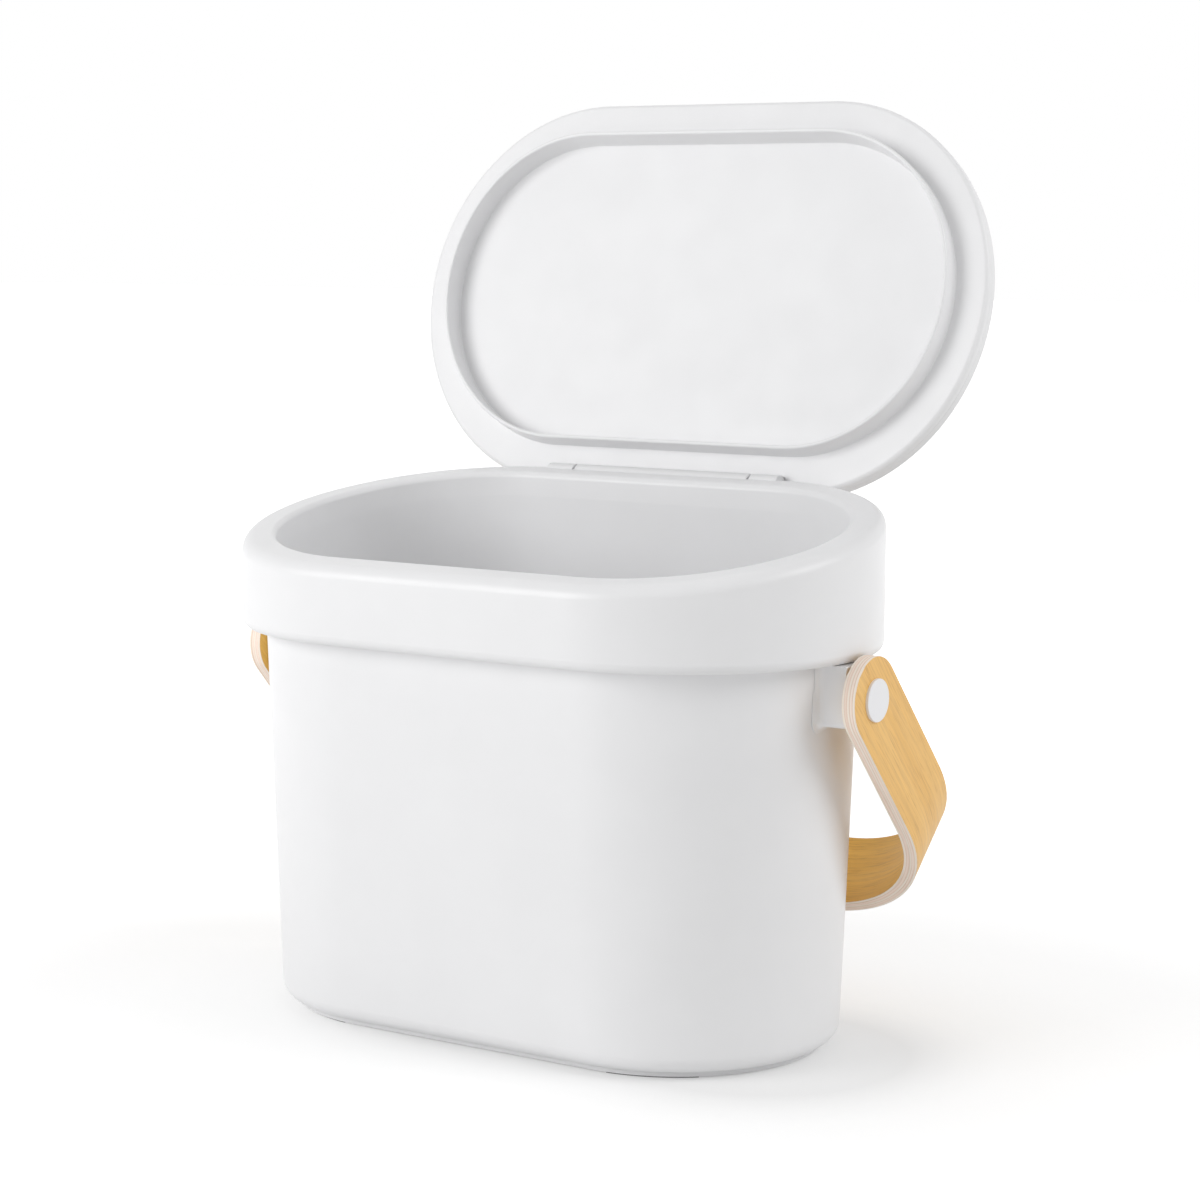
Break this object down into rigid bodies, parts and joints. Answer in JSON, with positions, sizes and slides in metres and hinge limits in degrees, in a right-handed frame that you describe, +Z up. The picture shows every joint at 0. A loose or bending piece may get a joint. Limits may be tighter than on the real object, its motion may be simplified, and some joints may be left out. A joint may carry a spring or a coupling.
{
  "type": "compost caddy",
  "caption": "Stadium-shaped kitchen compost caddy with a deep sloping collar, a lid hinged at the back and a bent laminated-wood bail handle.",
  "frame": {"origin": "on the table plane, under the middle of the bucket", "axes": "+X along the length, +Y towards the lid's hinge at the back, +Z up"},
  "size_m": [0.2882, 0.2056, 0.3634],
  "materials": {
    "body_plastic": "satin",
    "lid_plastic": "satin",
    "cap_plastic": "satin",
    "washer_nylon": "satin",
    "pin_steel": "satin",
    "foot_rubber": "matte",
    "face_veneer": "satin",
    "core_veneer": "satin"
  },
  "bodies": {
    "caddy": {"bucket": "body_plastic", "rim_collar": "body_plastic", "hinge_pin_left": "pin_steel", "hinge_pin_right": "pin_steel", "handle_boss_left": "body_plastic", "handle_boss_right": "body_plastic", "pivot_pin_left": "pin_steel", "pivot_pin_right": "pin_steel", "pivot_cap_left": "cap_plastic", "pivot_cap_right": "cap_plastic", "pivot_washer_left": "washer_nylon", "pivot_washer_right": "washer_nylon", "foot_front_right": "foot_rubber", "foot_back_right": "foot_rubber", "foot_back_left": "foot_rubber", "foot_front_left": "foot_rubber"},
    "lid": {"lid_shell": "lid_plastic", "lid_inner_panel": "lid_plastic"},
    "handle": {"handle_face_outer": "face_veneer", "handle_core_1": "core_veneer", "handle_core_2": "core_veneer", "handle_core_3": "core_veneer", "handle_face_inner": "face_veneer"}
  },
  "joints": [
    {"name": "lid_hinge", "type": "hinge", "parent": "caddy", "child": "lid", "pos_m": [0, 0.0774, 0.20928], "axis": [1, 0, 0], "range_deg": [0, 114.21]},
    {"name": "handle_swing", "type": "hinge", "parent": "caddy", "child": "handle", "pos_m": [0, 0, 0.14], "axis": [1, 0, 0], "range_deg": [0, 77]}
  ]
}
